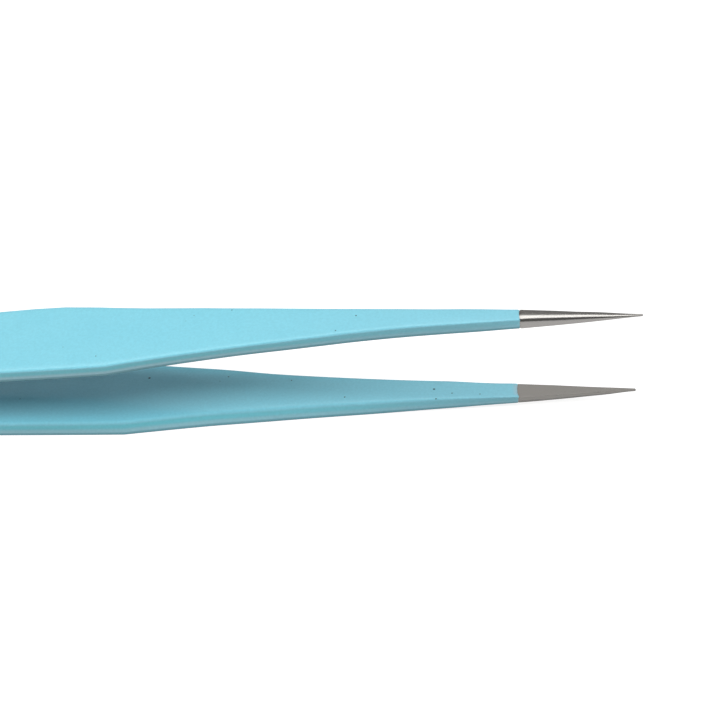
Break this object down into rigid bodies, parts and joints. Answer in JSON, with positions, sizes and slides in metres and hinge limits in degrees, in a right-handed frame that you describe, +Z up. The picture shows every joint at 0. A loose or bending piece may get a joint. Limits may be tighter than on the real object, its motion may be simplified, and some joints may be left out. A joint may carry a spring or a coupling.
{
  "type": "pointed tweezers",
  "caption": "Straight fine-point hand tweezers for electronics work, with sprung steel blades joined at the tail, a light blue epoxy coat and bare needle points.",
  "frame": {"origin": "centre of the bounding box in plan, on the surface that the tweezers lie on", "axes": "+X along the length from the welded tail to the points, +Y across the blades' width, +Z up through the gap, in which the blades open"},
  "size_m": [0.1202, 0.0095, 0.0124],
  "materials": {
    "bare_steel": "ground and partly polished stainless steel",
    "blue_epoxy": "satin light blue epoxy coat, even, with fine specks"
  },
  "bodies": {
    "root": {"upper_blade": "bare_steel", "lower_blade": "bare_steel", "coating": "blue_epoxy"}
  },
  "joints": []
}
